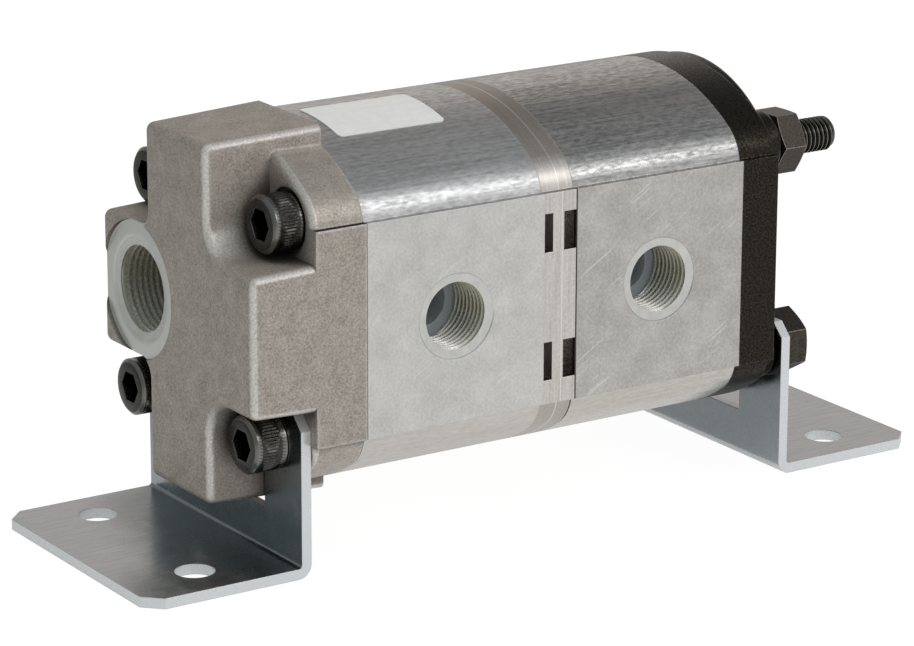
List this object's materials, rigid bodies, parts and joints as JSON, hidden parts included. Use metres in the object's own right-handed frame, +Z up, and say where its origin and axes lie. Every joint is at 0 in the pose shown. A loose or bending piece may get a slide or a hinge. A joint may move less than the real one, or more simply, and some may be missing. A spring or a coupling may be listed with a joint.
{
  "type": "gear flow divider",
  "caption": "Two-section gear flow divider with one inlet, side outlets, tie bolts and two bent sheet feet.",
  "frame": {"origin": "centre of the four foot holes on the underside of the feet", "axes": "+X from the inlet cover to the end cover, the outlets face -Y, +Z up"},
  "size_m": [0.258, 0.09, 0.1192],
  "materials": {
    "cast_aluminium": "shot-blasted casting, warm grey",
    "extruded_aluminium": "extruded profile, milled flat on the sides",
    "plate_aluminium": "machined plate",
    "black_cast_iron": "blackened casting",
    "gear_steel": "ground steel",
    "bearing_aluminium": "machined",
    "bush_bronze": "plain bush",
    "seal_rubber": "moulded",
    "dowel_steel": "ground pin",
    "black_bolt_steel": "black oxide",
    "black_nut_steel": "black oxide",
    "zinc_plated_sheet": "bright zinc plate",
    "blank_label_foil": "blank printed foil"
  },
  "bodies": {
    "housing": {"inlet_cover": "cast_aluminium", "front_body": "extruded_aluminium", "middle_plate": "plate_aluminium", "rear_body": "extruded_aluminium", "end_cover": "black_cast_iron", "front_inlet_side_bearing_block": "bearing_aluminium", "front_inlet_side_block_seal": "seal_rubber", "front_inlet_side_bushes": "bush_bronze", "front_end_side_bearing_block": "bearing_aluminium", "front_end_side_block_seal": "seal_rubber", "front_end_side_bushes": "bush_bronze", "rear_inlet_side_bearing_block": "bearing_aluminium", "rear_inlet_side_block_seal": "seal_rubber", "rear_inlet_side_bushes": "bush_bronze", "rear_end_side_bearing_block": "bearing_aluminium", "rear_end_side_block_seal": "seal_rubber", "rear_end_side_bushes": "bush_bronze", "inlet_cover_seal": "seal_rubber", "front_body_seal": "seal_rubber", "rear_body_seal": "seal_rubber", "end_cover_seal": "seal_rubber", "inlet_cover_dowels": "dowel_steel", "front_plate_dowels": "dowel_steel", "rear_plate_dowels": "dowel_steel", "end_cover_dowels": "dowel_steel", "upper_tie_bolts": "black_bolt_steel", "lower_tie_bolts": "black_bolt_steel", "lower_washers": "black_bolt_steel", "upper_nuts": "black_nut_steel", "lower_nuts": "black_nut_steel", "front_foot": "zinc_plated_sheet", "rear_foot": "zinc_plated_sheet", "rating_label": "blank_label_foil"},
    "drive_train": {"front_drive_gear": "gear_steel", "rear_drive_gear": "gear_steel", "drive_coupling": "gear_steel"},
    "front_driven": {"front_driven_gear": "gear_steel"},
    "rear_driven": {"rear_driven_gear": "gear_steel"}
  },
  "joints": [
    {"name": "drive_spin", "type": "hinge", "parent": "housing", "child": "drive_train", "pos_m": [0, 0, 0.086], "axis": [1, 0, 0], "continuous": true},
    {"name": "front_driven_spin", "type": "hinge", "parent": "housing", "child": "front_driven", "pos_m": [0, 0, 0.048], "axis": [1, 0, 0], "continuous": true},
    {"name": "rear_driven_spin", "type": "hinge", "parent": "housing", "child": "rear_driven", "pos_m": [0, 0, 0.048], "axis": [1, 0, 0], "continuous": true}
  ],
  "couplings": [
    {"joint": "front_driven_spin", "follows": "drive_spin", "ratio": -1},
    {"joint": "rear_driven_spin", "follows": "drive_spin", "ratio": -1}
  ]
}
